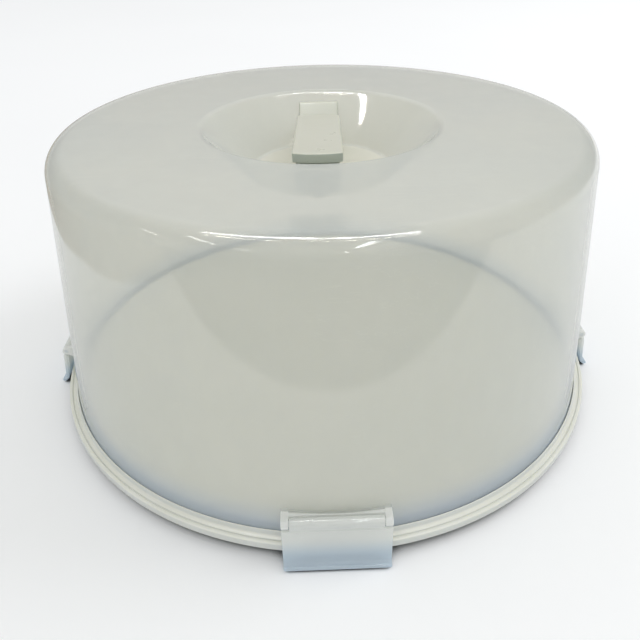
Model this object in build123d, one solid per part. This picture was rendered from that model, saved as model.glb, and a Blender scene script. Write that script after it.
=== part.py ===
from build123d import *
import math
import os

# ---------------------------------------------------------------
# Round cake carrier: cream tray, translucent dome, four swing clips
# Millimetres. +Z up, z = 0 is the surface the foot ring stands on,
# the origin is on the tray's centre line, the front clip is at -Y.
# ---------------------------------------------------------------

# tray
TRAY_R = 165.0          # outer edge of the rim
LIP_Z0 = 6.0            # underside of the rim's turned-down lip
LIP_Z1 = 9.5            # top of the rim's vertical edge
LIP_T = 2.0             # thickness of the turned-down lip
GROOVE_R = 162.7        # fine groove between the rim's two bands
RIDGE_R = 159.25        # inner edge of the ridge round the dome
RIDGE_Z = 13.3          # crest of that ridge
SEAT_Z = 9.4            # bottom of the channel that the dome stands in
PLATE_Z = 11.4          # top of the cake plate
PLATE_T = 2.2
FOOT_R = 151.5          # outer radius of the foot ring
FOOT_T = 2.4

# dome
TOP_Z = 157.4           # flat top
DOME_Z0 = 9.45          # bottom edge, just clear of the channel floor
WALL_T = 1.8
WALL_R_LOW = 158.9      # outer radius at the ridge crest
WALL_R_HIGH = 145.2     # outer radius 10 mm below the top
SHOULDER_R = 10.05
RECESS_R = 65.7         # sharp-corner radius of the hand recess
RECESS_R_EDGE = 5.0
FLOOR_R = 39.9          # flat floor of the recess
FLOOR_Z = 131.7
FLOOR_R_EDGE = 3.0

# clip hinge (radial and height position of each axis)
PIN_R = 162.9
PIN_Z = 25.2
PIN_D = 2.5
BORE_D = 2.62           # barrel bore, 0.06 mm radial running clearance
BARREL_D = 5.0
CLIP_HALF = 25.5        # half width of bracket and clip
EAR_IN = 22.0           # inner face of each bracket ear
CLIP_GAP = 0.3
HOOK_HALF = 19.5        # half width of the hook under the rim

# handle
HANDLE_X = -1.6         # the handle sits slightly off the centre line
HANDLE_YAW = -1.9
BAR_L = 70.0
BAR_WF, BAR_WR = 26.4, 24.6   # width at the front and at the rear end
BAR_TOP = 151.0
BAR_T = 5.0
FOOT_W, FOOT_WR = 22.6, 24.0

os.makedirs("parts", exist_ok=True)


# ---------------------------------------------------------------
# helpers
# ---------------------------------------------------------------
def rounded_edges(pts, close=True):
    """Edges of a polygon in (r, z); each point is (r, z, radius)."""
    n = len(pts)
    stops = []
    for i, (x, z, rad) in enumerate(pts):
        if rad <= 0:
            stops.append(((x, z), (x, z), None))
            continue
        x0, z0, _ = pts[(i - 1) % n]
        x1, z1, _ = pts[(i + 1) % n]
        a = (x0 - x, z0 - z)
        b = (x1 - x, z1 - z)
        la, lb = math.hypot(*a), math.hypot(*b)
        a = (a[0] / la, a[1] / la)
        b = (b[0] / lb, b[1] / lb)
        ang = math.acos(max(-1, min(1, a[0] * b[0] + a[1] * b[1])))
        d = rad / math.tan(ang / 2)
        p = (x + a[0] * d, z + a[1] * d)
        q = (x + b[0] * d, z + b[1] * d)
        m = (a[0] + b[0], a[1] + b[1])
        lm = math.hypot(*m)
        c = rad / math.sin(ang / 2)
        mid = (x + m[0] / lm * (c - rad), z + m[1] / lm * (c - rad))
        stops.append((p, q, mid))
    edges = []
    for i in range(n):
        p, q, mid = stops[i]
        if mid is not None:
            edges.append(ThreePointArc(v3(p), v3(mid), v3(q)))
        nxt = stops[(i + 1) % n][0]
        if math.hypot(nxt[0] - q[0], nxt[1] - q[1]) > 1e-6:
            edges.append(Line(v3(q), v3(nxt)))
    return edges


def v3(p):
    return (p[0], 0, p[1])


def revolved(pts):
    face = Face(Wire(rounded_edges(pts)))
    return revolve(face, axis=Axis.Z, revolution_arc=360)


def line_offset_corner(p, q, r, t):
    """Corner of the polyline p-q-r after moving it t to its right."""
    def shift(a, b):
        dx, dz = b[0] - a[0], b[1] - a[1]
        ln = math.hypot(dx, dz)
        nx, nz = dz / ln, -dx / ln
        return (a[0] + nx * t, a[1] + nz * t), (dx, dz)
    a, da = shift(p, q)
    b, db = shift(q, r)
    det = da[0] * db[1] - da[1] * db[0]
    s = ((b[0] - a[0]) * db[1] - (b[1] - a[1]) * db[0]) / det
    return (a[0] + s * da[0], a[1] + s * da[1])


def slab(pts, x0, x1):
    """Prism of a (radius, z) polygon, radius pointing to -Y, from x0 to x1."""
    w = Wire([Line((x0, -pts[i][0], pts[i][1]),
                   (x0, -pts[(i + 1) % len(pts)][0], pts[(i + 1) % len(pts)][1]))
              for i in range(len(pts))])
    return extrude(Face(w), amount=x1 - x0, dir=(1, 0, 0))


def rod(r, z, d, x0, x1):
    """Cylinder along X at radius r on the -Y side."""
    return (Pos((x0 + x1) / 2, -r, z) * Rot(0, 90, 0)
            * Cylinder(d / 2, x1 - x0))


def wall_r(z):
    k = (WALL_R_LOW - WALL_R_HIGH) / (TOP_Z - 10 - RIDGE_Z)
    return WALL_R_LOW - k * (z - RIDGE_Z)


# ---------------------------------------------------------------
# tray: cake plate, channel for the dome, ridge, rim and foot ring
# ---------------------------------------------------------------
lip_in = TRAY_R - LIP_T
tray_pts = [
    (0, PLATE_Z, 0),
    (153.4, PLATE_Z, 0.6),
    (154.4, SEAT_Z, 0.5),
    (RIDGE_R + 0.38, SEAT_Z, 0.3),
    (RIDGE_R + 0.03, RIDGE_Z, 0.22),
    (RIDGE_R + 0.62, RIDGE_Z, 0.25),
    (RIDGE_R + 1.25, 10.65, 1.3),
    (GROOVE_R - 0.4, 10.38, 0.3),
    (GROOVE_R - 0.1, 9.8, 0.12),
    (GROOVE_R + 0.12, 9.8, 0.12),
    (GROOVE_R + 0.42, 10.32, 0.3),
    (TRAY_R - 0.1, 10.15, 0.9),
    (TRAY_R, LIP_Z0, 0.5),
    (lip_in, LIP_Z0, 0.5),
    (lip_in - 0.2, 7.3, 0.4),
    (FOOT_R, 7.3, 1.0),
    (FOOT_R - 0.3, 0, 0.6),
    (FOOT_R - FOOT_T, 0, 0.6),
    (FOOT_R - FOOT_T - 0.4, PLATE_Z - PLATE_T, 1.0),
    (0, PLATE_Z - PLATE_T, 0),
]
tray = revolved(tray_pts)
# stiffening on the underside: two rings and twelve radial ribs
rib_z0, rib_z1 = 5.6, PLATE_Z - PLATE_T + 0.3
for r in (48.0, 100.0):
    ring = Pos(0, 0, (rib_z0 + rib_z1) / 2) * (
        Cylinder(r + 0.8, rib_z1 - rib_z0) - Cylinder(r - 0.8, rib_z1 - rib_z0))
    tray += ring
for i in range(12):
    rib = Pos(99.0, 0, (rib_z0 + rib_z1) / 2) * Box(101.2, 1.6, rib_z1 - rib_z0)
    tray += Rot(0, 0, 15 + 30 * i) * rib

# ---------------------------------------------------------------
# dome: wall, shoulder, flat top and conical hand recess
# ---------------------------------------------------------------
out = [(0, FLOOR_Z), (FLOOR_R, FLOOR_Z), (RECESS_R, TOP_Z),
       (wall_r(TOP_Z), TOP_Z), (wall_r(DOME_Z0), DOME_Z0)]
inn = [line_offset_corner(out[i - 1], out[i], out[i + 1], WALL_T) for i in (1, 2, 3)]
k = (wall_r(0) - wall_r(1)) / 1.0
dr = WALL_T * math.hypot(1, k)
dome_pts = [
    (0, FLOOR_Z, 0),
    (FLOOR_R, FLOOR_Z, FLOOR_R_EDGE),
    (RECESS_R, TOP_Z, RECESS_R_EDGE),
    (wall_r(TOP_Z), TOP_Z, SHOULDER_R),
    (wall_r(DOME_Z0), DOME_Z0, 0.5),
    (wall_r(DOME_Z0) - dr, DOME_Z0, 0.5),
    (inn[2][0], inn[2][1], SHOULDER_R - WALL_T),
    (inn[1][0], inn[1][1], RECESS_R_EDGE - WALL_T),
    (inn[0][0], inn[0][1], FLOOR_R_EDGE + WALL_T),
    (0, FLOOR_Z - WALL_T, 0),
]
dome = revolved(dome_pts)


def bracket():
    """Two ears joined by a web, on the dome's outer wall at -Y."""
    ears = None
    for s in (-1, 1):
        x0, x1 = (EAR_IN, CLIP_HALF) if s > 0 else (-CLIP_HALF, -EAR_IN)
        ear = slab([(154.75, 27.35), (PIN_R, PIN_Z + BARREL_D / 2),
                    (PIN_R, PIN_Z - BARREL_D / 2), (159.9, 21.4),
                    (154.75, 18.6)], x0, x1)
        ear += rod(PIN_R, PIN_Z, BARREL_D, x0, x1)
        ears = ear if ears is None else ears + ear
    # web: a thin shelf along the wall, then a raised crescent behind the barrel
    shelf = Box(2 * EAR_IN + 1, 40, 1.7, align=(Align.CENTER, Align.MAX, Align.MAX))
    shelf = Pos(0, -130.0, 26.4) * shelf
    shelf = shelf & Pos(0, 0, 25) * (Cylinder(160.05, 10) - Cylinder(156.75, 10))
    crescent = Pos(0, -140.0, 27.25) * Box(
        2 * EAR_IN + 1, 20.05, 2.55, align=(Align.CENTER, Align.MAX, Align.MAX))
    crescent = crescent & Pos(0, 0, 25) * (Cylinder(175, 10) - Cylinder(159.6, 10))
    # three small gussets that carry the web
    gus = None
    for x in (-11.0, 0.0, 11.0):
        y = math.sqrt(157.2 ** 2 - x * x)
        g = slab([(y - 0.2, 25.5), (159.4, 25.5), (159.4, 24.9), (y - 0.2, 20.6)],
                 x - 0.6, x + 0.6)
        gus = g if gus is None else gus + g
    return ears + shelf + crescent + gus


def ear_bores():
    return rod(PIN_R, PIN_Z, PIN_D, -CLIP_HALF - 1, CLIP_HALF + 1)


AZ = {"front": 0, "right": 90, "rear": 180, "left": 270}
br = bracket()
for a in AZ.values():
    dome += Rot(0, 0, a) * br
for a in AZ.values():
    dome -= Rot(0, 0, a) * ear_bores()

# ---------------------------------------------------------------
# handle: flat grip bar with a foot at each end that fills the gap
# to the recess wall and ends in a tongue lying on that wall
# ---------------------------------------------------------------
hloc = Pos(HANDLE_X, 0, 0) * Rot(0, 0, HANDLE_YAW)
ZB = BAR_TOP - BAR_T
half, bulge = BAR_L / 2, 2.0
wf, wr = BAR_WF / 2, BAR_WR / 2
bar_w = Wire([
    Line((-wf, -half + bulge, ZB), (-wr, half - bulge, ZB)),
    ThreePointArc((-wr, half - bulge, ZB), (0, half, ZB), (wr, half - bulge, ZB)),
    Line((wr, half - bulge, ZB), (wf, -half + bulge, ZB)),
    ThreePointArc((wf, -half + bulge, ZB), (0, -half, ZB), (-wf, -half + bulge, ZB)),
])
bar = extrude(Face(bar_w), amount=BAR_T, dir=(0, 0, 1))
bar = fillet(bar.edges().filter_by(Axis.Z), 1.2)
bar = fillet(bar.edges().group_by(Axis.Z)[-1], 0.7)
bar = fillet(bar.edges().group_by(Axis.Z)[0], 0.5)

cone_gap = 0.2
c_wall = FLOOR_Z - FLOOR_R                       # z - r on the recess wall
c_out = c_wall + cone_gap * math.sqrt(2)
TONGUE_T = 1.8
c_in = c_out + TONGUE_T * math.sqrt(2)
TONGUE_Z = 152.0
HEEL_Z = 144.5                                   # top of the foot between bar end and tongue
foot_pts = [
    (28.6, ZB + 0.3), (30.4, FLOOR_Z), (62.0, FLOOR_Z), (62.0, TONGUE_Z),
    (TONGUE_Z - c_in, TONGUE_Z), (HEEL_Z - c_in, HEEL_Z), (half - 2.6, HEEL_Z), (half - 2.6, ZB + 0.3),
]
foot_f = slab(foot_pts, -FOOT_W / 2, FOOT_W / 2)
foot_r = Rot(0, 0, 180) * slab(foot_pts, -FOOT_WR / 2, FOOT_WR / 2)
# space inside the recess that the feet may fill
room_pts = [(0, FLOOR_Z + 0.05, 0), (FLOOR_Z - c_out - 0.6, FLOOR_Z + 0.05, 3.2),
            (TONGUE_Z + 3 - c_out, TONGUE_Z + 3, 0), (0, TONGUE_Z + 3, 0)]
room = revolved(room_pts)
feet = (hloc * (foot_f + foot_r)) & room
handle = hloc * bar + feet

# screws up through the recess floor into the feet
SCREW_Y = 34.2
SCREW_D = 3.0
HEAD_D, HEAD_H = 6.6, 2.1
Z_UNDER = FLOOR_Z - WALL_T
screws = {}
for name, s in (("front", -1), ("rear", 1)):
    at = hloc * Pos(0, s * SCREW_Y, 0)
    shank = Pos(0, 0, Z_UNDER - 0.2 + 6.1) * Cylinder(SCREW_D / 2, 12.2)
    tip = Pos(0, 0, Z_UNDER + 11.8 + 0.75) * Cone(SCREW_D / 2, 0.35, 1.5)
    head = Pos(0, 0, Z_UNDER - HEAD_H / 2) * Cylinder(HEAD_D / 2, HEAD_H)
    head = fillet(head.edges().group_by(Axis.Z)[0], 0.9)
    slot = Pos(0, 0, Z_UNDER - HEAD_H + 0.5) * (Box(3.6, 0.8, 1.3) + Box(0.8, 3.6, 1.3))
    screws[name] = at * (head + shank + tip - slot)
    dome -= at * (Pos(0, 0, Z_UNDER + 1) * Cylinder(SCREW_D / 2 + 0.2, 5))
    handle -= at * (Pos(0, 0, FLOOR_Z + 6) * Cylinder(SCREW_D / 2, 12.6))
    handle -= at * (Pos(0, 0, FLOOR_Z + 12) * Cylinder(SCREW_D / 2 - 0.2, 2.4))


# ---------------------------------------------------------------
# clips: barrel, leaning panel, hook under the rim, finger lip
# ---------------------------------------------------------------
def clip():
    bl = EAR_IN - CLIP_GAP
    barrel = rod(PIN_R, PIN_Z, BARREL_D, -bl, bl)
    neck = slab([(161.6, 23.8), (164.5, 24.4), (165.28, 23.2), (165.42, 21.9),
                 (163.62, 21.9), (162.2, 22.9)], -bl, bl)
    panel = slab([(165.38, 22.3), (167.42, 6.8), (167.7, 4.4), (170.5, 1.9),
                  (169.6, 0.9), (166.6, 3.3), (165.62, 5.2), (163.58, 22.3)],
                 -CLIP_HALF, CLIP_HALF)
    bead = rod(169.75, 1.95, 2.2, -CLIP_HALF, CLIP_HALF)
    hook = Pos(0, -155.0, 3.3) * Box(
        2 * HOOK_HALF, 11.6, 2.3, align=(Align.CENTER, Align.MAX, Align.MIN))
    hook = hook & Pos(0, 0, 5) * (Cylinder(180, 10) - Cylinder(162.2, 10))
    body = panel + bead + neck + barrel + hook
    # edge ribs on the inner face and a shallow stiffening rib below the crease
    for s in (-1, 1):
        x0 = s * (CLIP_HALF - 1.8) - 0.7
        body += slab([(163.9, 20.5), (165.9, 7.0), (165.1, 7.0), (163.0, 20.5)], x0, x0 + 1.4)
    # slight taper towards the lip and rounded lip corners
    trim = Wire([Line((-CLIP_HALF, 0, 30), (-CLIP_HALF, 0, 22)),
                 Line((-CLIP_HALF, 0, 22), (-CLIP_HALF + 0.3, 0, 2.5)),
                 ThreePointArc((-CLIP_HALF + 0.3, 0, 2.5), (-CLIP_HALF + 0.856, 0, 1.156),
                               (-CLIP_HALF + 2.2, 0, 0.6)),
                 Line((-CLIP_HALF + 2.2, 0, 0.6), (CLIP_HALF - 2.2, 0, 0.6)),
                 ThreePointArc((CLIP_HALF - 2.2, 0, 0.6), (CLIP_HALF - 0.856, 0, 1.156),
                               (CLIP_HALF - 0.3, 0, 2.5)),
                 Line((CLIP_HALF - 0.3, 0, 2.5), (CLIP_HALF, 0, 22)),
                 Line((CLIP_HALF, 0, 22), (CLIP_HALF, 0, 30)),
                 Line((CLIP_HALF, 0, 30), (-CLIP_HALF, 0, 30))])
    body = body & (Pos(0, -150, 0) * extrude(Face(trim), amount=30, dir=(0, -1, 0)))
    body -= rod(PIN_R, PIN_Z, BORE_D, -CLIP_HALF - 1, CLIP_HALF + 1)
    return body


cl = clip()
pin = rod(PIN_R, PIN_Z, PIN_D, -CLIP_HALF + 0.2, CLIP_HALF - 0.2)

nodes = {"tray": tray, "dome": dome, "handle": handle,
         "handle_screw_front": screws["front"], "handle_screw_rear": screws["rear"]}
for name, a in AZ.items():
    nodes["clip_" + name] = Rot(0, 0, a) * cl
    nodes["clip_pin_" + name] = Rot(0, 0, a) * pin

for name, shape in nodes.items():
    solids = shape.solids()
    if len(solids) != 1:
        print("note:", name, "has", len(solids), "solids")
    export_step(solids[0] if len(solids) == 1 else Compound(solids), "parts/" + name + ".step")
    b = shape.bounding_box()
    print("%-20s %8.1f mm3  z %.2f..%.2f" % (name, shape.volume, b.min.Z, b.max.Z))
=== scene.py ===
import bpy
import bmesh
import math
from mathutils import Matrix, Vector


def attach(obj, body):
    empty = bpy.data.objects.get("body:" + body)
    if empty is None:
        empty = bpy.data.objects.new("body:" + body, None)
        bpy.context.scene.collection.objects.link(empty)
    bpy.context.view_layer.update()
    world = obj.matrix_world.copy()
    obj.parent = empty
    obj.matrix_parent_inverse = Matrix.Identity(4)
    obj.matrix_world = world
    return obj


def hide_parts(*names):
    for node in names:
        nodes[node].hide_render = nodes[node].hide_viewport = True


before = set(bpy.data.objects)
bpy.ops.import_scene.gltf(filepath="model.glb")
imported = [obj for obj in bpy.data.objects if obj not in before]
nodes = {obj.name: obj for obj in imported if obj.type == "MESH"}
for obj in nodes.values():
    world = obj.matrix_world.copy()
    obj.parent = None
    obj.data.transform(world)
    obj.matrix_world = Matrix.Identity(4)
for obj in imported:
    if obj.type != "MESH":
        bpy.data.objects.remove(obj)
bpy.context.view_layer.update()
sc = bpy.context.scene
MM = 0.001

# ---------------------------------------------------------------
# dimensions, millimetres, the same as the construction model's
# ---------------------------------------------------------------
TRAY_R, LIP_Z0, LIP_T = 165.0, 6.0, 2.0
GROOVE_R, RIDGE_R, RIDGE_Z = 162.7, 159.25, 13.3
SEAT_Z, PLATE_Z, PLATE_T = 9.4, 11.4, 2.2
FOOT_R, FOOT_T = 151.5, 2.4
TOP_Z, DOME_Z0, WALL_T = 157.4, 9.45, 1.8
WALL_R_LOW, WALL_R_HIGH = 158.9, 145.2
SHOULDER_R, RECESS_R, RECESS_R_EDGE = 10.05, 65.7, 5.0
FLOOR_R, FLOOR_Z, FLOOR_R_EDGE = 39.9, 131.7, 3.0
PIN_R, PIN_Z, PIN_D, BORE_D, BARREL_D = 162.9, 25.2, 2.5, 2.62, 5.0
CLIP_HALF, EAR_IN, CLIP_GAP = 25.5, 22.0, 0.3
HANDLE_X, HANDLE_YAW = -1.6, -1.9
BAR_L, BAR_TOP, BAR_T = 70.0, 151.0, 5.0
HFOOT_WF, HFOOT_WR = 22.6, 24.0
BAR_WF, BAR_WR = 26.4, 24.6
SCREW_Y, SCREW_D = 34.2, 3.0
HOOK_HALF = 19.5
SIDES = {"front": 0, "right": 90, "rear": 180, "left": 270}
SOLVER = "MANIFOLD"

# cream plastic, linear colours
CREAM_A = (0.620, 0.625, 0.520, 1)
CREAM_B = (0.660, 0.662, 0.565, 1)
CREAM_C = (0.690, 0.688, 0.595, 1)


def wall_r(z):
    k = (WALL_R_LOW - WALL_R_HIGH) / (TOP_Z - 10 - RIDGE_Z)
    return WALL_R_LOW - k * (z - RIDGE_Z)


# ---------------------------------------------------------------
# 2D outlines
# ---------------------------------------------------------------
def rounded(pts, closed=True, arc_step=0.13, support=0.35, long_step=16.0):
    """Polygon points (u, v, radius) to a dense outline with true arcs, and
    support points near each arc so that flat runs shade flat."""
    n = len(pts)
    corners = []
    for i in range(n):
        u, v, rad = pts[i]
        if rad <= 0 or (not closed and i in (0, n - 1)):
            corners.append([(u, v)])
            continue
        p = pts[(i - 1) % n]
        q = pts[(i + 1) % n]
        a = Vector((p[0] - u, p[1] - v)).normalized()
        b = Vector((q[0] - u, q[1] - v)).normalized()
        ang = math.acos(max(-1.0, min(1.0, a.dot(b))))
        d = rad / math.tan(ang / 2)
        m = (a + b).normalized()
        c = Vector((u, v)) + m * (rad / math.sin(ang / 2))
        s = Vector((u, v)) + a * d - c
        e = Vector((u, v)) + b * d - c
        t0 = math.atan2(s.y, s.x)
        dt = (math.atan2(e.y, e.x) - t0 + math.pi) % (2 * math.pi) - math.pi
        k = max(2, int(math.ceil(abs(dt) / arc_step)))
        corners.append([(c.x + rad * math.cos(t0 + dt * j / k),
                         c.y + rad * math.sin(t0 + dt * j / k)) for j in range(k + 1)])
    out = []
    last = n if closed else n - 1
    for i in range(n):
        out.extend(corners[i])
        if i >= last:
            break
        a = Vector(corners[i][-1])
        b = Vector(corners[(i + 1) % n][0])
        ln = (b - a).length
        if ln < 1e-6:
            continue
        stops = []
        if ln > 4 * support:
            stops.append(support)
            inner = ln - 2 * support
            k = max(1, int(math.ceil(inner / long_step)))
            stops += [support + inner * j / k for j in range(1, k)]
            stops.append(ln - support)
        out.extend([tuple(a + (b - a) * (s / ln)) for s in stops])
    clean = []
    for p in out:
        if not clean or math.hypot(p[0] - clean[-1][0], p[1] - clean[-1][1]) > 1e-5:
            clean.append(p)
    if closed and math.hypot(clean[0][0] - clean[-1][0], clean[0][1] - clean[-1][1]) < 1e-5:
        clean.pop()
    return clean


def offset_corner(p, q, r, t):
    def shift(a, b):
        dx, dz = b[0] - a[0], b[1] - a[1]
        ln = math.hypot(dx, dz)
        return (a[0] + dz / ln * t, a[1] - dx / ln * t), (dx, dz)
    a, da = shift(p, q)
    b, db = shift(q, r)
    det = da[0] * db[1] - da[1] * db[0]
    s = ((b[0] - a[0]) * db[1] - (b[1] - a[1]) * db[0]) / det
    return (a[0] + s * da[0], a[1] + s * da[1])


def area2(loop):
    return sum(loop[i][0] * loop[(i + 1) % len(loop)][1]
               - loop[(i + 1) % len(loop)][0] * loop[i][1] for i in range(len(loop)))


def inset(loop, d):
    """Outline moved inwards by d, point by point along its normals."""
    if d <= 0:
        return list(loop)
    sign = 1 if area2(loop) > 0 else -1
    n = len(loop)
    out = []
    for i in range(n):
        a, p, b = loop[i - 1], loop[i], loop[(i + 1) % n]
        e1 = Vector((p[0] - a[0], p[1] - a[1]))
        e2 = Vector((b[0] - p[0], b[1] - p[1]))
        if e1.length < 1e-9 or e2.length < 1e-9:
            out.append(p)
            continue
        n1 = Vector((-e1.y, e1.x)).normalized() * sign
        n2 = Vector((-e2.y, e2.x)).normalized() * sign
        m = n1 + n2
        if m.length < 1e-6:
            out.append(p)
            continue
        m.normalize()
        k = min(1 / max(m.dot(n1), 0.5), 1.6)
        out.append((p[0] + m.x * d * k, p[1] + m.y * d * k))
    return out


# ---------------------------------------------------------------
# solids as bmesh; every solid is closed
# ---------------------------------------------------------------
def to_object(bm, name):
    bmesh.ops.recalc_face_normals(bm, faces=bm.faces[:])
    me = bpy.data.meshes.new(name)
    bm.to_mesh(me)
    bm.free()
    ob = bpy.data.objects.new(name, me)
    sc.collection.objects.link(ob)
    return ob


def lathe(name, loop, segs=320, turn=0.37):
    """Closed outline (r, z) turned round Z. Points with r = 0 become poles."""
    bm = bmesh.new()
    rings = []
    for r, z in loop:
        if r < 1e-6:
            rings.append([bm.verts.new((0, 0, z * MM))])
        else:
            rings.append([bm.verts.new((
                r * math.cos(2 * math.pi * (j + turn) / segs) * MM,
                r * math.sin(2 * math.pi * (j + turn) / segs) * MM, z * MM)) for j in range(segs)])
    n = len(rings)
    for i in range(n):
        a, b = rings[i], rings[(i + 1) % n]
        if len(a) == 1 and len(b) == 1:
            continue
        for j in range(segs):
            k = (j + 1) % segs
            if len(a) == 1:
                bm.faces.new((a[0], b[j], b[k]))
            elif len(b) == 1:
                bm.faces.new((a[j], b[0], a[k]))
            else:
                bm.faces.new((a[j], b[j], b[k], a[k]))
    return to_object(bm, name)


def stack(name, layers):
    """Closed solid from a list of equal-length 3D loops, capped at both ends."""
    bm = bmesh.new()
    rows = [[bm.verts.new((p[0] * MM, p[1] * MM, p[2] * MM)) for p in loop] for loop in layers]
    n = len(rows[0])
    for a, b in zip(rows[:-1], rows[1:]):
        for j in range(n):
            k = (j + 1) % n
            bm.faces.new((a[j], a[k], b[k], b[j]))
    bm.faces.new(rows[0][::-1])
    bm.faces.new(rows[-1])
    bmesh.ops.triangulate(bm, faces=[f for f in bm.faces if len(f.verts) > 4])
    return to_object(bm, name)


def prism_x(name, loop, x0, x1, r=0.0, steps=4, half=None, runs=1):
    """Outline (radius, z) on the -Y side, swept along X with rounded ends.
    half, if given, is the half width as a function of z."""
    def layer(side, a):
        pts = inset(loop, r * (1 - math.cos(a)))
        out = []
        for rad, z in pts:
            if half is not None:
                x = side * (half(z) - r * (1 - math.sin(a)))
            else:
                x = (x0 + r * (1 - math.sin(a))) if side < 0 else (x1 - r * (1 - math.sin(a)))
            out.append((x, -rad, z))
        return out
    angles = [math.pi / 2 * (steps - j) / steps for j in range(steps + 1)] if r > 0 else [0.0]
    left = [layer(-1, a) for a in angles]
    right = [layer(1, a) for a in reversed(angles)]
    mid = []
    for i in range(1, runs):
        t = i / runs
        mid.append([tuple(p[c] * (1 - t) + q[c] * t for c in range(3))
                    for p, q in zip(left[-1], right[0])])
    return stack(name, left + mid + right)


def plate_z(name, loop, z0, z1, r_top=0.0, r_bot=0.0, steps=5, cap=0.0):
    """Plan outline (x, y) raised from z0 to z1 with rounded edges; cap adds a
    flat ring inside the top edge."""
    layers = []
    if r_bot > 0:
        for j in range(steps, -1, -1):
            a = math.pi / 2 * j / steps
            layers.append([(x, y, z0 + r_bot * (1 - math.sin(a)))
                           for x, y in inset(loop, r_bot * (1 - math.cos(a)))])
    else:
        layers.append([(x, y, z0) for x, y in loop])
    if r_top > 0:
        for j in range(steps + 1):
            a = math.pi / 2 * j / steps
            layers.append([(x, y, z1 - r_top * (1 - math.sin(a)))
                           for x, y in inset(loop, r_top * (1 - math.cos(a)))])
    else:
        layers.append([(x, y, z1) for x, y in loop])
    if cap > 0:
        for extra in (cap * 0.5, cap):
            layers.append([(x, y, z1) for x, y in inset(loop, r_top + extra)])
    return stack(name, layers)


def circle_loop(cx, cz, rad, n=40, start=0.0):
    return [(cx + rad * math.cos(start + 2 * math.pi * i / n),
             cz + rad * math.sin(start + 2 * math.pi * i / n)) for i in range(n)]


def rod_x(name, r, z, d, x0, x1, n=40):
    return prism_x(name, circle_loop(r, z, d / 2, n), x0, x1)


def rod_z(name, x, y, d, z0, z1, n=32):
    return plate_z(name, circle_loop(x, y, d / 2, n), z0, z1)


def turned(ob, deg, name=None):
    """A copy of the object turned about Z."""
    me = ob.data.copy()
    me.transform(Matrix.Rotation(math.radians(deg), 4, "Z"))
    c = bpy.data.objects.new(name or ob.name + "_t", me)
    sc.collection.objects.link(c)
    return c


def drop(*obs):
    for o in obs:
        me = o.data
        bpy.data.objects.remove(o)
        if me.users == 0:
            bpy.data.meshes.remove(me)


def boolean(ob, tools, op, solver="EXACT"):
    """Boolean of closed solids, tools used up."""
    for t in tools:
        m = ob.modifiers.new("b", "BOOLEAN")
        m.operation = op
        m.solver = solver
        m.object = t
    dg = bpy.context.evaluated_depsgraph_get()
    me = bpy.data.meshes.new_from_object(ob.evaluated_get(dg))
    ob.modifiers.clear()
    old = ob.data
    ob.data = me
    bpy.data.meshes.remove(old)
    drop(*tools)
    return ob


def joined(obs):
    """Several separate closed solids as one object."""
    bm = bmesh.new()
    for o in obs:
        bm.from_mesh(o.data)
    me = bpy.data.meshes.new("joined")
    bm.to_mesh(me)
    bm.free()
    one = bpy.data.objects.new("joined", me)
    sc.collection.objects.link(one)
    drop(*obs)
    return one


def finish_mesh(ob, angle=32.0, merge=True):
    bm = bmesh.new()
    bm.from_mesh(ob.data)
    if merge:
        bmesh.ops.remove_doubles(bm, verts=bm.verts[:], dist=1e-6)
        bmesh.ops.dissolve_degenerate(bm, edges=bm.edges[:], dist=5e-7)
    big = [f for f in bm.faces if len(f.verts) > 4]
    if big:
        bmesh.ops.triangulate(bm, faces=big)
    bmesh.ops.recalc_face_normals(bm, faces=bm.faces[:])
    bm.to_mesh(ob.data)
    bm.free()
    ob.data.polygons.foreach_set("use_smooth", [True] * len(ob.data.polygons))
    ob.data.set_sharp_from_angle(angle=math.radians(angle))
    ob.data.update()
    return ob


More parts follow.
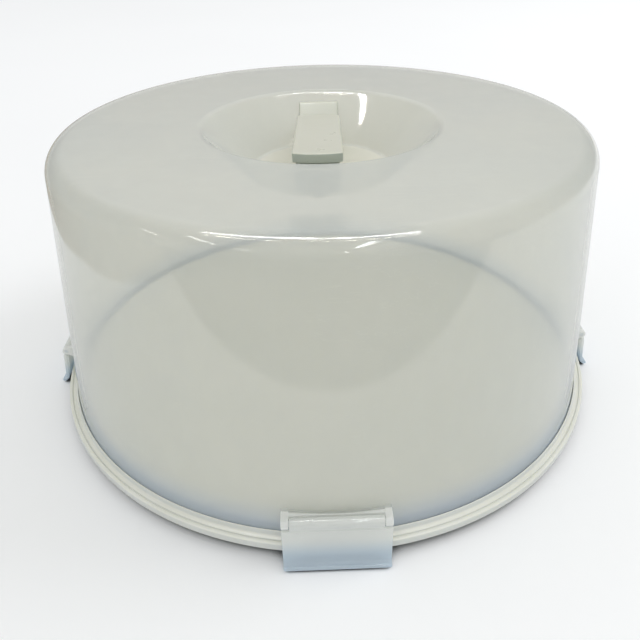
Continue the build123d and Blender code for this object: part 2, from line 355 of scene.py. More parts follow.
# ---------------------------------------------------------------
# shader helpers
# ---------------------------------------------------------------
class Tree:
    def __init__(self, name):
        self.mat = bpy.data.materials.new(name)
        self.mat.use_nodes = True
        self.nt = self.mat.node_tree
        self.nt.nodes.clear()
        self.out = self.nt.nodes.new("ShaderNodeOutputMaterial")
        self.tc = self.nt.nodes.new("ShaderNodeTexCoord")

    def new(self, kind, **sockets):
        n = self.nt.nodes.new(kind)
        for k, v in sockets.items():
            if k in n.bl_rna.properties and k not in n.inputs:
                setattr(n, k, v)
        return n

    def put(self, socket, value):
        if isinstance(value, bpy.types.NodeSocket):
            self.nt.links.new(value, socket)
        else:
            socket.default_value = value

    def coords(self, scale=(1, 1, 1), rot=(0, 0, 0), loc=(0, 0, 0)):
        m = self.nt.nodes.new("ShaderNodeMapping")
        self.nt.links.new(self.tc.outputs["Object"], m.inputs["Vector"])
        m.inputs["Scale"].default_value = scale
        m.inputs["Rotation"].default_value = rot
        m.inputs["Location"].default_value = loc
        return m.outputs["Vector"]

    def noise(self, scale, detail=3.0, rough=0.5, vec=None, distort=0.0):
        n = self.nt.nodes.new("ShaderNodeTexNoise")
        n.inputs["Scale"].default_value = scale
        n.inputs["Detail"].default_value = detail
        n.inputs["Roughness"].default_value = rough
        n.inputs["Distortion"].default_value = distort
        self.nt.links.new(vec if vec is not None else self.tc.outputs["Object"], n.inputs["Vector"])
        return n.outputs["Fac"]

    def voronoi(self, scale, vec=None, feature="F1"):
        n = self.nt.nodes.new("ShaderNodeTexVoronoi")
        n.feature = feature
        n.inputs["Scale"].default_value = scale
        self.nt.links.new(vec if vec is not None else self.tc.outputs["Object"], n.inputs["Vector"])
        return n.outputs["Distance"]

    def ramp(self, fac, lo, hi, a=0.0, b=1.0, smooth=True):
        n = self.nt.nodes.new("ShaderNodeMapRange")
        n.interpolation_type = "SMOOTHSTEP" if smooth else "LINEAR"
        self.put(n.inputs["Value"], fac)
        n.inputs["From Min"].default_value = lo
        n.inputs["From Max"].default_value = hi
        n.inputs["To Min"].default_value = a
        n.inputs["To Max"].default_value = b
        return n.outputs["Result"]

    def math(self, op, a, b=0.0, clamp=False):
        n = self.nt.nodes.new("ShaderNodeMath")
        n.operation = op
        n.use_clamp = clamp
        self.put(n.inputs[0], a)
        self.put(n.inputs[1], b)
        return n.outputs[0]

    def mix(self, fac, a, b):
        n = self.nt.nodes.new("ShaderNodeMix")
        n.data_type = "RGBA"
        self.put(n.inputs["Factor"], fac)
        self.put(n.inputs[6], a)
        self.put(n.inputs[7], b)
        return n.outputs[2]

    def xyz(self):
        n = self.nt.nodes.new("ShaderNodeSeparateXYZ")
        self.nt.links.new(self.tc.outputs["Object"], n.inputs[0])
        return n.outputs[0], n.outputs[1], n.outputs[2]

    def bump(self, height, strength, distance, normal=None):
        n = self.nt.nodes.new("ShaderNodeBump")
        n.inputs["Strength"].default_value = strength
        n.inputs["Distance"].default_value = distance
        self.nt.links.new(height, n.inputs["Height"])
        if normal is not None:
            self.nt.links.new(normal, n.inputs["Normal"])
        return n.outputs["Normal"]

    def shader(self, kind, **values):
        n = self.nt.nodes.new(kind)
        for k, v in values.items():
            self.put(n.inputs[k.replace("_", " ")], v)
        return n.outputs[0]

    def mix_shader(self, fac, a, b):
        n = self.nt.nodes.new("ShaderNodeMixShader")
        self.put(n.inputs[0], fac)
        self.nt.links.new(a, n.inputs[1])
        self.nt.links.new(b, n.inputs[2])
        return n.outputs[0]

    def done(self, surface):
        self.nt.links.new(surface, self.out.inputs["Surface"])
        return self.mat


def scratches(t, scale, density, seed):
    """Fine hairlines: noise stretched along one direction, thresholded, and
    kept to a few patches."""
    lines = None
    for i, ang in enumerate((0.35, 1.25, 2.2)):
        v = t.coords(scale=(scale * 0.03, scale, scale * 0.5), rot=(0.3 * i, 0.2, ang),
                     loc=(seed + 3.1 * i, seed * 0.7, 1.7 * i))
        n = t.noise(1.0, 2.0, 0.45, vec=v)
        s = t.ramp(n, density, density + 0.012)
        e = t.ramp(n, density + 0.014, density + 0.03, 1.0, 0.0)
        s = t.math("MULTIPLY", s, e)
        lines = s if lines is None else t.math("MAXIMUM", lines, s)
    return t.math("MULTIPLY", lines, t.ramp(t.noise(24.0, 2.0, vec=t.coords(loc=(seed, 2.0, 5.0))), 0.50, 0.62))


def cream_plastic(name, seed=0.0, worn_r=None, painted_light_lift=(1.0, 1.0, 1.0), scuffed=1.0,
                  side_shade=((0.5, 0.53, 0.53), 0.0)):
    """Satin cream polypropylene: mottled, slightly grained, scuffed."""
    t = Tree(name)
    cloud = t.noise(14.0, 4.0, 0.55, vec=t.coords(loc=(seed, 0.3, 0.1)))
    flow = t.noise(55.0, 3.0, 0.6, vec=t.coords(scale=(1, 0.35, 1), loc=(0.2, seed, 0.7)))
    grain = t.noise(2600.0, 2.0, 0.6)
    orange = t.noise(420.0, 2.0, 0.5)
    # painted light: the tones are scaled per part; the tray's copy is lifted well above the handle's to make up for
    # the shade the dome casts on it
    tone_a, tone_b, tone_c = (tuple(c * g for c, g in zip(k, painted_light_lift)) + (1,) for k in (CREAM_A, CREAM_B, CREAM_C))
    base = t.mix(t.ramp(cloud, 0.3, 0.7), tone_a, tone_b)
    base = t.mix(t.ramp(flow, 0.45, 0.8, 0.0, 0.35), base, tone_c)
    # painted shade: upright faces are darkened towards a grey, standing in for the weaker light they get than the
    # tops
    nz = t.nt.nodes.new("ShaderNodeSeparateXYZ")
    t.nt.links.new(t.tc.outputs["Normal"], nz.inputs[0])
    painted_side_shade = t.math("MULTIPLY", t.ramp(nz.outputs[2], 0.20, 0.90, 1.0, 0.0), t.ramp(cloud, 0.2, 0.8, 0.9, 1.05))
    base = t.mix(t.math("MULTIPLY", painted_side_shade, side_shade[1]), base, (*side_shade[0], 1))
    hair = scratches(t, 900.0, 0.615, 2.0 + seed)
    specks = t.ramp(t.voronoi(900.0), 0.0, 0.11, 1.0, 0.0)
    specks = t.math("MULTIPLY", specks, t.ramp(t.noise(60.0, 2.0), 0.60, 0.66))
    base = t.mix(t.math("MULTIPLY", specks, 0.03 * scuffed), base, (0.55, 0.54, 0.44, 1))
    base = t.mix(t.math("MULTIPLY", hair, 0.06 * scuffed), base, (0.80, 0.80, 0.74, 1))
    if worn_r is not None:
        x, y, z = t.xyz()
        rr = t.math("SQRT", t.math("ADD", t.math("MULTIPLY", x, x), t.math("MULTIPLY", y, y)))
        edge = t.ramp(rr, worn_r - 0.0016, worn_r - 0.0002)
        scuff = t.ramp(t.noise(240.0, 5.0, 0.7), 0.50, 0.62)
        wear = t.math("MULTIPLY", edge, scuff)
        base = t.mix(t.math("MULTIPLY", wear, 0.16), base, (0.80, 0.80, 0.75, 1))
    else:
        wear = t.ramp(t.noise(180.0, 5.0, 0.7), 0.62, 0.70, 0.0, 0.5)
        base = t.mix(t.math("MULTIPLY", wear, 0.10 * scuffed), base, (0.78, 0.78, 0.72, 1))
    rough = t.ramp(t.noise(90.0, 4.0, 0.6), 0.3, 0.7, 0.27, 0.38)
    rough = t.math("ADD", rough, t.math("MULTIPLY", hair, 0.12 * scuffed))
    rough = t.math("ADD", rough, t.math("MULTIPLY", wear, 0.15 * scuffed))
    nrm = t.bump(orange, 0.10, 0.0002)
    nrm = t.bump(grain, 0.16, 0.00004, nrm)
    p = t.shader("ShaderNodeBsdfPrincipled", Base_Color=base, Roughness=rough, Normal=nrm, IOR=1.49)
    node = p.node
    node.inputs["Subsurface Weight"].default_value = 0.25
    node.inputs["Subsurface Radius"].default_value = (1.0, 0.95, 0.7)
    node.inputs["Subsurface Scale"].default_value = 0.0022
    return t.done(p)


def milky_plastic(name, clear, tint, milk_a, milk_b, through, gloss, seed=0.0, thick=None, painted_foot_shade=None,
                  inner=None):
    """Natural polypropylene: a thin haze that lets most light pass, scatters
    a little bluish light both ways, and has a glossy face."""
    t = Tree(name)
    cloud = t.noise(9.0, 4.0, 0.55, vec=t.coords(loc=(seed, 0.1, 0.4)))
    fine = t.noise(70.0, 3.0, 0.6, vec=t.coords(scale=(1, 1, 0.4), loc=(0.3, seed, 0.2)))
    hair = scratches(t, 700.0, 0.622, 5.0 + seed)
    dust = t.ramp(t.voronoi(330.0), 0.0, 0.09, 1.0, 0.0)
    dust = t.math("MULTIPLY", dust, t.ramp(t.noise(40.0, 2.0), 0.60, 0.68))
    milk = t.mix(t.ramp(cloud, 0.3, 0.7), (*milk_a, 1), (*milk_b, 1))
    haze = t.ramp(cloud, 0.25, 0.75, 1.0 - clear - 0.012, 1.0 - clear + 0.012)
    haze = t.math("ADD", haze, t.ramp(fine, 0.4, 0.8, 0.0, 0.008))
    haze = t.math("ADD", haze, t.math("MULTIPLY", hair, 0.012))
    haze = t.math("ADD", haze, t.math("MULTIPLY", dust, 0.05))
    x, y, z = t.xyz()
    if thick is not None:
        # solid brackets outside the wall scatter more than the thin wall
        rr = t.math("SQRT", t.math("ADD", t.math("MULTIPLY", x, x), t.math("MULTIPLY", y, y)))
        outside = t.math("MULTIPLY", t.ramp(rr, thick, thick + 0.0008), t.ramp(z, 0.030, 0.0285))
        haze = t.math("ADD", haze, t.math("MULTIPLY", outside, 0.48))
        milk = t.mix(outside, milk, (0.970, 0.985, 0.975, 1))
    if inner is not None:
        # painted light: the recess floor is made hazier and lighter, warmer than the wall
        rr = t.math("SQRT", t.math("ADD", t.math("MULTIPLY", x, x), t.math("MULTIPLY", y, y)))
        floor_light_mask = t.math("MULTIPLY", t.ramp(rr, inner - 0.002, inner + 0.002, 1.0, 0.0), t.ramp(z, 0.126, 0.128))
        haze = t.math("ADD", haze, t.math("MULTIPLY", floor_light_mask, 0.22))
        milk = t.mix(floor_light_mask, milk, (0.965, 0.970, 0.915, 1))
    if painted_foot_shade is not None:
        # painted shade: towards the bottom the moulding turns hazier, darker and bluer, standing in for the dim light
        # near the base
        lo, hi, more, milk_shaded = painted_foot_shade
        foot_shade_mask = t.ramp(z, lo, hi, 1.0, 0.0)
        if thick is not None:
            foot_shade_mask = t.math("MULTIPLY", foot_shade_mask, t.math("SUBTRACT", 1.0, outside))
        haze = t.math("ADD", haze, t.math("MULTIPLY", foot_shade_mask, more))
        milk = t.mix(foot_shade_mask, milk, (*milk_shaded, 1))
    slant = t.nt.nodes.new("ShaderNodeLayerWeight")
    slant.inputs["Blend"].default_value = 0.5
    slant = t.math("MULTIPLY", slant.outputs["Facing"], slant.outputs["Facing"])
    haze = t.math("MULTIPLY", haze, t.math("ADD", t.math("MULTIPLY", slant, 0.32), 1.0), True)
    wave = t.noise(22.0, 2.0, 0.4)
    peel = t.noise(380.0, 2.0, 0.5)
    nrm = t.bump(wave, 0.03, 0.0006)
    nrm = t.bump(peel, 0.012, 0.0001, nrm)
    nrm = t.bump(hair, 0.03, -0.00002, nrm)
    rough = t.ramp(t.noise(30.0, 4.0, 0.6), 0.3, 0.7, gloss - 0.012, gloss + 0.02)
    rough = t.math("ADD", rough, t.math("MULTIPLY", hair, 0.08))
    clearsh = t.shader("ShaderNodeBsdfTransparent", Color=(*tint, 1))
    front = t.shader("ShaderNodeBsdfDiffuse", Color=milk, Normal=nrm)
    back = t.shader("ShaderNodeBsdfTranslucent", Color=milk, Normal=nrm)
    body = t.mix_shader(haze, clearsh, t.mix_shader(through, front, back))
    shine = t.shader("ShaderNodeBsdfGlossy", Color=(1, 1, 1, 1), Roughness=rough, Normal=nrm)
    faced = []
    for ior in (1.5, 1 / 1.5):
        fres = t.nt.nodes.new("ShaderNodeFresnel")
        fres.inputs["IOR"].default_value = ior
        t.nt.links.new(nrm, fres.inputs["Normal"])
        faced.append(t.mix_shader(fres.outputs[0], body, shine))
    geo = t.nt.nodes.new("ShaderNodeNewGeometry")
    return t.done(t.mix_shader(geo.outputs["Backfacing"], faced[0], faced[1]))


def screw_steel(name):
    t = Tree(name)
    brushed = t.noise(1.0, 4.0, 0.7, vec=t.coords(scale=(900, 900, 9000)))
    cloud = t.noise(500.0, 3.0)
    base = t.mix(t.ramp(cloud, 0.35, 0.7), (0.52, 0.52, 0.51, 1), (0.66, 0.66, 0.65, 1))
    rough = t.ramp(brushed, 0.3, 0.7, 0.26, 0.46)
    nrm = t.bump(brushed, 0.25, 0.00003)
    return t.done(t.shader("ShaderNodeBsdfPrincipled", Base_Color=base, Metallic=1.0, Roughness=rough, Normal=nrm))


def pin_plastic(name):
    t = Tree(name)
    cloud = t.noise(160.0, 4.0, 0.6)
    drawn = t.noise(1.0, 3.0, 0.6, vec=t.coords(scale=(3000, 3000, 3000)))
    base = t.mix(t.ramp(cloud, 0.3, 0.7), (0.63, 0.67, 0.69, 1), (0.72, 0.75, 0.76, 1))
    rough = t.ramp(cloud, 0.3, 0.7, 0.28, 0.40)
    nrm = t.bump(drawn, 0.15, 0.00003)
    p = t.shader("ShaderNodeBsdfPrincipled", Base_Color=base, Roughness=rough, Normal=nrm, IOR=1.49)
    p.node.inputs["Subsurface Weight"].default_value = 0.4
    p.node.inputs["Subsurface Radius"].default_value = (1.0, 1.0, 1.0)
    p.node.inputs["Subsurface Scale"].default_value = 0.0015
    return t.done(p)


# ---------------------------------------------------------------
# tray
# ---------------------------------------------------------------
lip_in = TRAY_R - LIP_T
tray_loop = rounded([
    (0, PLATE_Z, 0),
    (153.4, PLATE_Z, 0.6),
    (154.4, SEAT_Z, 0.5),
    (RIDGE_R + 0.38, SEAT_Z, 0.3),
    (RIDGE_R + 0.03, RIDGE_Z, 0.25),
    (RIDGE_R + 0.62, RIDGE_Z, 0.28),
    (RIDGE_R + 1.25, 10.65, 1.3),
    (GROOVE_R - 0.4, 10.38, 0.3),
    (GROOVE_R - 0.1, 9.8, 0.12),
    (GROOVE_R + 0.12, 9.8, 0.12),
    (GROOVE_R + 0.42, 10.32, 0.3),
    (TRAY_R - 0.1, 10.15, 0.9),
    (TRAY_R, LIP_Z0, 0.5),
    (lip_in, LIP_Z0, 0.5),
    (lip_in - 0.2, 7.3, 0.4),
    (FOOT_R, 7.3, 1.0),
    (FOOT_R - 0.3, 0, 0.6),
    (FOOT_R - FOOT_T, 0, 0.6),
    (FOOT_R - FOOT_T - 0.4, PLATE_Z - PLATE_T, 1.0),
    (0, PLATE_Z - PLATE_T, 0),
], closed=False, arc_step=0.22, long_step=14.0)
tray = lathe("tray_shell", tray_loop, 360)
rib_z0, rib_z1 = 5.6, PLATE_Z - PLATE_T + 0.3
ribs = []
for r in (48.0, 100.0):
    ribs.append(lathe("rib_ring", rounded([
        (r - 0.8, rib_z0, 0.35), (r + 0.8, rib_z0, 0.35), (r + 0.8, rib_z1, 0), (r - 0.8, rib_z1, 0)],
        arc_step=0.5, support=0.2), 180, turn=0.11))
for i in range(12):
    side = rounded([(-0.8, rib_z1, 0), (-0.8, rib_z0, 0.35), (0.8, rib_z0, 0.35), (0.8, rib_z1, 0)],
                   arc_step=0.5, support=0.2)
    a = math.radians(15 + 30 * i)
    ca, sa = math.cos(a), math.sin(a)
    layers = [[(r * ca - u * sa, r * sa + u * ca, v) for u, v in side] for r in (48.4, 149.0)]
    ribs.append(stack("rib", layers))
ring_in, ring_out = ribs[0], ribs[1]
boolean(ring_out, [ring_in] + ribs[2:], "UNION", SOLVER)
boolean(tray, [ring_out], "UNION", SOLVER)
finish_mesh(tray)

# ---------------------------------------------------------------
# dome
# ---------------------------------------------------------------
out = [(0, FLOOR_Z), (FLOOR_R, FLOOR_Z), (RECESS_R, TOP_Z),
       (wall_r(TOP_Z), TOP_Z), (wall_r(DOME_Z0), DOME_Z0)]
inn = [offset_corner(out[i - 1], out[i], out[i + 1], WALL_T) for i in (1, 2, 3)]
k_wall = wall_r(0) - wall_r(1)
dr = WALL_T * math.hypot(1, k_wall)
dome_loop = rounded([
    (0, FLOOR_Z, 0),
    (FLOOR_R, FLOOR_Z, FLOOR_R_EDGE),
    (RECESS_R, TOP_Z, RECESS_R_EDGE),
    (wall_r(TOP_Z), TOP_Z, SHOULDER_R),
    (wall_r(DOME_Z0), DOME_Z0, 0.5),
    (wall_r(DOME_Z0) - dr, DOME_Z0, 0.5),
    (inn[2][0], inn[2][1], SHOULDER_R - WALL_T),
    (inn[1][0], inn[1][1], RECESS_R_EDGE - WALL_T),
    (inn[0][0], inn[0][1], FLOOR_R_EDGE + WALL_T),
    (0, FLOOR_Z - WALL_T, 0),
], closed=False, arc_step=0.085, long_step=9.0)
dome = lathe("dome_shell", dome_loop, 360)


def bracket_parts():
    parts = []
    nose = [(PIN_R + BARREL_D / 2 * math.cos(a), PIN_Z + BARREL_D / 2 * math.sin(a))
            for a in [math.radians(90 - 180 * i / 20) for i in range(21)]]
    ear = rounded([(155.2, 18.85, 0), (155.2, 27.36, 0), (157.6, 27.45, 0)], closed=False, support=0.7) \
        + nose + rounded([(161.4, 22.15, 0.6), (159.9, 21.4, 0.6)], closed=False, support=0.7)
    for x0, x1 in ((EAR_IN, CLIP_HALF), (-CLIP_HALF, -EAR_IN)):
        parts.append(prism_x("ear", ear, x0, x1, r=0.4, steps=4))
    # web: one plan outline, arc on the wall side, straight along the barrel
    xw = EAR_IN + 0.5
    arc = [(xw * (1 - 2 * i / 24), 0) for i in range(25)]
    inner = [(x, -math.sqrt(156.75 ** 2 - x * x)) for x, _ in arc]
    lowfront = [(x, -math.sqrt(160.05 ** 2 - x * x)) for x, _ in arc]
    parts.append(plate_z("shelf", inner + lowfront[::-1], 24.7, 26.4, r_top=0.3, r_bot=0.2, steps=3))
    edge = [(x, -math.sqrt(159.55 ** 2 - x * x)) for x, _ in arc]
    front = [(-xw, -160.05), (xw, -160.05)]
    parts.append(plate_z("crescent", edge + front, 24.75, 27.25, r_top=0.18, r_bot=0.0, steps=3))
    for x in (-11.0, 0.0, 11.0):
        y = math.sqrt(157.2 ** 2 - x * x)
        parts.append(prism_x("gusset", [(y - 0.5, 25.5), (159.4, 25.5), (159.4, 24.9), (y - 0.5, 19.9)],
                             x - 0.6, x + 0.6))
    return parts


parts = bracket_parts()
bracket = boolean(parts[0], parts[1:], "UNION", SOLVER)
tools = [turned(bracket, a) for a in SIDES.values()]
drop(bracket)
boolean(dome, [joined(tools)], "UNION", SOLVER)
cuts = []
bore = rod_x("bore", PIN_R, PIN_Z, PIN_D + 0.06, -CLIP_HALF - 1, CLIP_HALF + 1, 36)
for a in SIDES.values():
    cuts.append(turned(bore, a))
drop(bore)
yaw = math.radians(HANDLE_YAW)


def hpos(x, y):
    """Handle frame to part frame, millimetres."""
    return (HANDLE_X + x * math.cos(yaw) - y * math.sin(yaw), x * math.sin(yaw) + y * math.cos(yaw))


for s in (-1, 1):
    hx, hy = hpos(0, s * SCREW_Y)
    cuts.append(rod_z("hole", hx, hy, SCREW_D + 0.4, FLOOR_Z - 5, FLOOR_Z + 4))
boolean(dome, [joined(cuts)], "DIFFERENCE", SOLVER)
finish_mesh(dome)

# ---------------------------------------------------------------
# handle
# ---------------------------------------------------------------
half, bulge = BAR_L / 2, 2.0


def end_arc(sgn):
    """Bulged end of the bar as seen from above."""
    w = (BAR_WR if sgn > 0 else BAR_WF) / 2
    R = (w * w + bulge * bulge) / (2 * bulge)
    cy = half - R
    a0 = math.asin(w / R)
    return [(sgn * R * math.sin(a0 * (1 - 2 * i / 16)), sgn * (cy + R * math.cos(a0 * (1 - 2 * i / 16)))) for i in range(17)]


raw = [(x, y, 1.2 if i in (0, 16) else 0.0) for sgn in (1, -1) for i, (x, y) in enumerate(end_arc(sgn))]
bar_loop = rounded(raw, arc_step=0.2, support=0.3, long_step=6.0)
bar = plate_z("handle_grip", [hpos(x, y) for x, y in bar_loop], BAR_TOP - BAR_T, BAR_TOP, r_top=0.75, r_bot=0.55, steps=5, cap=0.4)

ZB = BAR_TOP - BAR_T
c_wall = FLOOR_Z - FLOOR_R
c_out = c_wall + 0.2 * math.sqrt(2)
c_in = c_out + 1.8 * math.sqrt(2)
TONGUE_Z = 152.0
HEEL_Z = 144.5
foot_prof = [(28.5, ZB + 2.0), (30.4, FLOOR_Z - 1), (62.0, FLOOR_Z - 1), (62.0, TONGUE_Z),
             (TONGUE_Z - c_in, TONGUE_Z), (HEEL_Z - c_in, HEEL_Z), (half - 2.6, HEEL_Z), (half - 2.6, ZB + 2.0)]
room = lathe("room", rounded([
    (0, FLOOR_Z + 0.05, 0), (FLOOR_Z - c_out - 0.6, FLOOR_Z + 0.05, 3.2),
    (TONGUE_Z - c_out - 0.2, TONGUE_Z - 0.2, 0), (0, TONGUE_Z - 0.2, 0)], closed=False, arc_step=0.2), 240, turn=0.21)
feet = []
for sgn, foot_w in ((1, HFOOT_WF), (-1, HFOOT_WR)):
    f = prism_x("foot", rounded([(u, v, 0.95 if i in (4,) else 0.0) for i, (u, v) in enumerate(foot_prof)],
                                arc_step=0.4, support=1.0, long_step=5.0),
                -foot_w / 2, foot_w / 2, r=0.8, steps=4)
    me = f.data
    if sgn < 0:
        me.transform(Matrix.Rotation(math.pi, 4, "Z"))
    me.transform(Matrix.Translation((HANDLE_X * MM, 0, 0)) @ Matrix.Rotation(yaw, 4, "Z"))
    rm = room.copy()
    rm.data = room.data.copy()
    sc.collection.objects.link(rm)
    boolean(f, [rm], "INTERSECT", SOLVER)
    feet.append(f)
drop(room)
boolean(bar, feet, "UNION", SOLVER)
cuts = []
for s in (-1, 1):
    hx, hy = hpos(0, s * SCREW_Y)
    cuts.append(rod_z("hole", hx, hy, SCREW_D + 0.02, FLOOR_Z - 1, FLOOR_Z + 12.3))
boolean(bar, cuts, "DIFFERENCE", SOLVER)
finish_mesh(bar, merge=False)

# ---------------------------------------------------------------
# clips
# ---------------------------------------------------------------
bl = EAR_IN - CLIP_GAP


def clip_half(z):
    if z >= 22:
        return CLIP_HALF
    if z >= 2.5:
        return CLIP_HALF - 0.3 * (22 - z) / 19.5
    return 23.3 + 1.88 * math.sqrt(max(0.0, 1 - ((2.5 - z) / 1.92) ** 2))


br = BARREL_D / 2
circle = [(PIN_R + br * math.cos(math.radians(a)), PIN_Z + br * math.sin(math.radians(a)))
          for a in range(-22, 236, 6)]
neck = circle + [(161.9, 22.95), (162.35, 22.7), (163.3, 21.9), (165.0, 21.9), (165.06, 22.9), (165.13, 23.7)]
barrel = prism_x("barrel", neck, -bl, bl, r=0.3, steps=3)

bead_c, bead_r = (169.75, 1.95), 1.1
bead = [(bead_c[0] + bead_r * math.cos(math.radians(a)), bead_c[1] + bead_r * math.sin(math.radians(a)))
        for a in range(100, -161, -10)]
outer = rounded([(164.4, 22.3, 0), (165.38, 22.3, 0.5), (167.42, 6.8, 6.0), (167.95, 4.0, 1.6), (169.4, 2.9, 0)],
                closed=False, arc_step=0.2, support=0.6, long_step=3.0)
inner = rounded([(168.6, 1.45, 0), (166.5, 3.4, 1.6), (165.62, 5.4, 3.0), (163.58, 22.3, 0.5), (164.4, 22.3, 0)],
                closed=False, arc_step=0.2, support=0.6, long_step=3.0)
panel_loop = outer + bead + inner[:-1]
panel = prism_x("clip_panel", panel_loop, 0, 0, r=0.45, steps=4, half=clip_half, runs=6)

hook_pts = [(HOOK_HALF * (1 - 2 * i / 24), 0) for i in range(25)]
hook = plate_z("hook", [(x, -math.sqrt(162.2 ** 2 - x * x)) for x, _ in hook_pts]
               + [(-HOOK_HALF, -166.2), (HOOK_HALF, -166.2)], 3.3, 5.6, r_top=0.35, r_bot=0.35, steps=3)
rib_tools = []
for s in (-1, 1):
    x0 = s * (CLIP_HALF - 1.8) - 0.7
    rib_tools.append(prism_x("rib", [(164.3, 20.5), (166.2, 7.0), (165.1, 7.0), (163.0, 20.5)], x0, x0 + 1.4))
boolean(panel, [barrel, hook] + rib_tools, "UNION", SOLVER)
boolean(panel, [rod_x("bore", PIN_R, PIN_Z, BORE_D, -CLIP_HALF - 1, CLIP_HALF + 1, 36)], "DIFFERENCE", SOLVER)
finish_mesh(panel)

# ---------------------------------------------------------------
# names, bodies, materials
# ---------------------------------------------------------------
# the tray's cream is lifted above the handle's as painted light, and its upright faces get painted shade
m_tray = cream_plastic("tray_cream", 0.0, TRAY_R * MM, painted_light_lift=(1.24, 1.24, 1.34),
                       side_shade=((0.480, 0.520, 0.535), 0.45))
m_handle = cream_plastic("handle_cream", 4.0, painted_light_lift=(0.985, 0.985, 0.99), scuffed=0.10,
                         side_shade=((0.330, 0.385, 0.350), 0.70))
# dome and clips get painted shade at their foot, darker and bluer towards the bottom
m_dome = milky_plastic("dome_milky", clear=0.625, tint=(0.990, 0.957, 0.890), milk_a=(0.790, 0.855, 0.900),
                       milk_b=(0.825, 0.875, 0.900), through=0.45, gloss=0.035, thick=0.1590,
                       painted_foot_shade=(0.011, 0.033, 0.21, (0.590, 0.675, 0.800)), inner=0.0385)
m_clip = milky_plastic("clip_milky", clear=0.22, tint=(0.990, 0.955, 0.890), milk_a=(0.930, 0.955, 0.945),
                       milk_b=(0.945, 0.965, 0.945), through=0.40, gloss=0.09, seed=2.0,
                       painted_foot_shade=(0.006, 0.0185, 0.02, (0.705, 0.815, 0.905)))
m_pin = pin_plastic("pin_natural")
m_screw = screw_steel("screw_steel")


def place(ob, name, body, node, mat):
    ob.name = name
    ob.data.name = name
    ob.data.materials.clear()
    ob.data.materials.append(mat)
    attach(ob, body)
    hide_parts(node)


place(tray, "tray_moulding", "tray", "tray", m_tray)
place(dome, "dome_cover", "dome", "dome", m_dome)
place(bar, "handle_grip", "dome", "handle", m_handle)
for name, a in SIDES.items():
    c = turned(panel, a, "clip_flap_" + name)
    for p in c.data.polygons:
        p.use_smooth = True
    place(c, "clip_flap_" + name, "clip_" + name, "clip_" + name, m_clip)
drop(panel)
for n, o in nodes.items():
    if n.startswith("clip_pin"):
        o.data.materials.clear()
        o.data.materials.append(m_pin)
    elif n.startswith("handle_screw"):
        o.data.materials.clear()
        o.data.materials.append(m_screw)

# ---------------------------------------------------------------
# floor, light, camera
# ---------------------------------------------------------------
PHI = math.radians(1.02)


def turn(v):
    """Photo frame to part frame (a turn of PHI about Z)."""
    x, y, z = v
    return Vector((x * math.cos(PHI) + y * math.sin(PHI), -x * math.sin(PHI) + y * math.cos(PHI), z))


cam_data = bpy.data.cameras.new("camera")
cam_data.sensor_width = 36.0
cam_data.lens = 632.679 / 640 * 36.0
cam_data.clip_start, cam_data.clip_end = 0.01, 50.0
cam = bpy.data.objects.new("camera", cam_data)
sc.collection.objects.link(cam)
right = turn((0.99975157, -0.0124689, -0.01847486))
up = turn((0.02228887, 0.55928355, 0.82867673))
fwd = turn((0.0, 0.82888265, -0.55942252))
rot = Matrix((right, up, -fwd)).transposed().to_4x4()
cam.matrix_world = Matrix.Translation(turn((-2.7301, -348.6169, 260.9029)) * MM) @ rot
sc.camera = cam

floor_bm = bmesh.new()
bmesh.ops.create_grid(floor_bm, x_segments=1, y_segments=1, size=6.0)
floor_me = bpy.data.meshes.new("floor")
floor_bm.to_mesh(floor_me)
floor_bm.free()
floor = bpy.data.objects.new("floor", floor_me)
floor.location = (0, 0, -0.00005)
sc.collection.objects.link(floor)
ft = Tree("floor_pale")
fx, fy, fz = ft.xyz()
lp = ft.nt.nodes.new("ShaderNodeLightPath")
# reflections see the table end in front and at the left, and the room beyond
front = ft.ramp(fy, -0.324, -0.312, 1.0, 0.0)
bend = ft.math("MULTIPLY", ft.math("MAXIMUM", ft.math("SUBTRACT", fy, 0.02), 0.0), 0.33)
left = ft.ramp(ft.math("SUBTRACT", fx, bend), -0.412, -0.404, 1.0, 0.0)
pale = ft.mix(ft.ramp(ft.noise(3.0, 3.0), 0.3, 0.7), (0.855, 0.860, 0.870, 1), (0.865, 0.870, 0.880, 1))
seen = ft.mix(ft.ramp(ft.noise(3.0, 3.0), 0.3, 0.7), (1.010, 1.018, 1.032, 1), (1.020, 1.028, 1.042, 1))
far = ft.mix(ft.math("MULTIPLY", left, lp.outputs["Is Glossy Ray"]), pale, (0.42, 0.39, 0.33, 1))
far = ft.mix(ft.math("MULTIPLY", front, lp.outputs["Is Glossy Ray"]), far, (0.10, 0.13, 0.16, 1))
tone = ft.mix(lp.outputs["Is Camera Ray"], far, seen)
# painted contact shadow: the floor colour goes almost black where ambient occlusion is strong, under and around the
# parts
ao = ft.nt.nodes.new("ShaderNodeAmbientOcclusion")
ao.samples = 16
ao.inputs["Distance"].default_value = 0.012
tone = ft.mix(ft.ramp(ao.outputs["AO"], 0.28, 0.60, 0.95, 0.0), tone, (0.02, 0.022, 0.025, 1))
fp = ft.shader("ShaderNodeBsdfDiffuse", Color=tone)
floor.data.materials.append(ft.done(fp))

world = bpy.data.worlds.new("studio")
sc.world = world
world.use_nodes = True
wt = world.node_tree
wt.nodes.clear()
wo = wt.nodes.new("ShaderNodeOutputWorld")
bg = wt.nodes.new("ShaderNodeBackground")
wtc = wt.nodes.new("ShaderNodeTexCoord")
wsep = wt.nodes.new("ShaderNodeSeparateXYZ")
wt.links.new(wtc.outputs["Generated"], wsep.inputs[0])


def wramp(sock, lo, hi):
    n = wt.nodes.new("ShaderNodeMapRange")
    n.interpolation_type = "SMOOTHSTEP"
    wt.links.new(sock, n.inputs["Value"])
    n.inputs["From Min"].default_value = lo
    n.inputs["From Max"].default_value = hi
    return n.outputs["Result"]


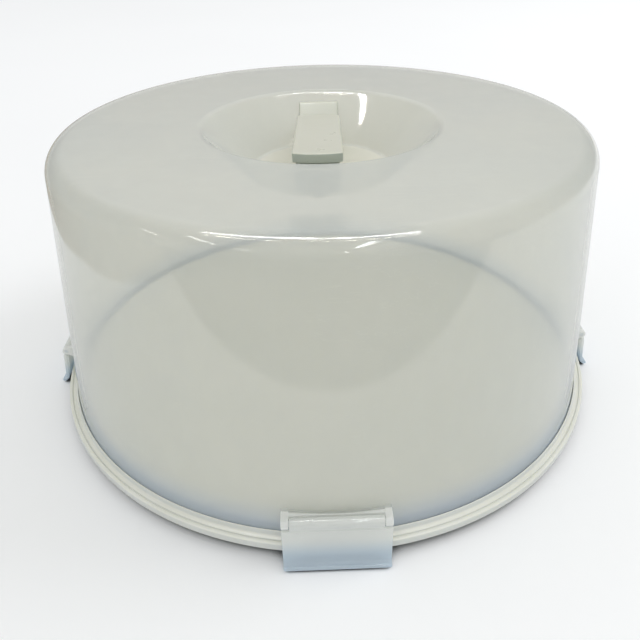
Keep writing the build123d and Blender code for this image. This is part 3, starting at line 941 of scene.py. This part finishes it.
def wmix(fac, a, b):
    n = wt.nodes.new("ShaderNodeMix")
    n.data_type = "RGBA"
    wt.links.new(fac, n.inputs["Factor"])
    for i, v in ((6, a), (7, b)):
        if isinstance(v, tuple):
            n.inputs[i].default_value = v
        else:
            wt.links.new(v, n.inputs[i])
    return n.outputs[2]


wlp = wt.nodes.new("ShaderNodeLightPath")
back_k, up_k = wramp(wsep.outputs[1], -0.5, 0.8), wramp(wsep.outputs[2], 0.10, 0.62)
mirror = wmix(up_k, wmix(back_k, (0.30, 0.335, 0.37, 1), (0.44, 0.43, 0.42, 1)), (0.86, 0.86, 0.85, 1))
soft = wmix(up_k, wmix(wramp(wsep.outputs[1], -0.8, 0.3), (1.05, 1.055, 1.05, 1), (0.77, 0.775, 0.77, 1)), (0.815, 0.82, 0.815, 1))
side = wt.nodes.new("ShaderNodeMath")
side.operation = "ABSOLUTE"
wt.links.new(wsep.outputs[0], side.inputs[0])
mirror = wmix(wramp(side.outputs[0], 0.30, 0.72), mirror, (0.33, 0.33, 0.32, 1))
sky = wmix(wlp.outputs["Is Glossy Ray"], soft, mirror)
wt.links.new(sky, bg.inputs["Color"])
bg.inputs["Strength"].default_value = 1.0
wt.links.new(bg.outputs[0], wo.inputs["Surface"])


def lamp(name, loc, sx, sy, radiance, aim=(0, 0, 0), colour=(1, 1, 1), spin=0.0):
    """Soft rectangular lamp; loc in the photo frame, millimetres."""
    d = bpy.data.lights.new(name, "AREA")
    d.shape = "RECTANGLE"
    d.size, d.size_y = sx * MM, sy * MM
    d.energy = radiance * math.pi * d.size * d.size_y
    d.color = colour
    o = bpy.data.objects.new(name, d)
    p = turn(loc) * MM
    o.location = p
    direction = (turn(aim) * MM - p)
    o.rotation_euler = direction.to_track_quat("-Z", "Y").to_euler()
    o.visible_camera = False
    sc.collection.objects.link(o)
    return o


def tube(name, a, b, width, radiance, colour=(1, 1, 1)):
    """Ceiling strip lamp between two points (photo frame), facing down."""
    a, b = Vector(a), Vector(b)
    mid = (a + b) / 2
    d = bpy.data.lights.new(name, "AREA")
    d.shape = "RECTANGLE"
    d.size, d.size_y = (b - a).length * MM, width * MM
    d.energy = radiance * math.pi * d.size * d.size_y
    d.color = colour
    o = bpy.data.objects.new(name, d)
    o.location = turn(mid) * MM
    run = b - a
    o.rotation_euler = (0, 0, math.atan2(run.y, run.x) - PHI)
    o.visible_camera = False
    o.visible_diffuse = False
    o.visible_transmission = False
    sc.collection.objects.link(o)
    return o


tube("strip_over_a", (-443, 8, 960), (-195, -36, 960), 26, 70.0)
tube("strip_over_b", (-195, -36, 960), (-20, -63, 960), 26, 100.0)
tube("strip_over_c", (-30, -66, 1500), (574, -25, 1500), 42, 62.0)
tube("strip_left_a", (-1155, -484, 1500), (-1321, -1278, 1500), 60, 12.0)
tube("strip_left_b", (-1186, -1669, 1500), (-1346, -2649, 1500), 60, 12.0)
tube("strip_left_c", (-2126, -405, 1500), (-2413, -969, 1500), 60, 12.0)
tube("strip_right_a", (352, -1374, 1500), (377, -595, 1500), 60, 18.0, (0.95, 1.0, 1.05))
tube("strip_right_b", (381, -2380, 1500), (381, -2560, 1500), 60, 16.0)
key = lamp("key_soft", (2000, 500, 2000), 1300, 1300, 3.0)
key.visible_glossy = False

sc.view_settings.view_transform = "Standard"
sc.view_settings.look = "None"
sc.cycles.transparent_max_bounces = 32
sc.cycles.max_bounces = 12
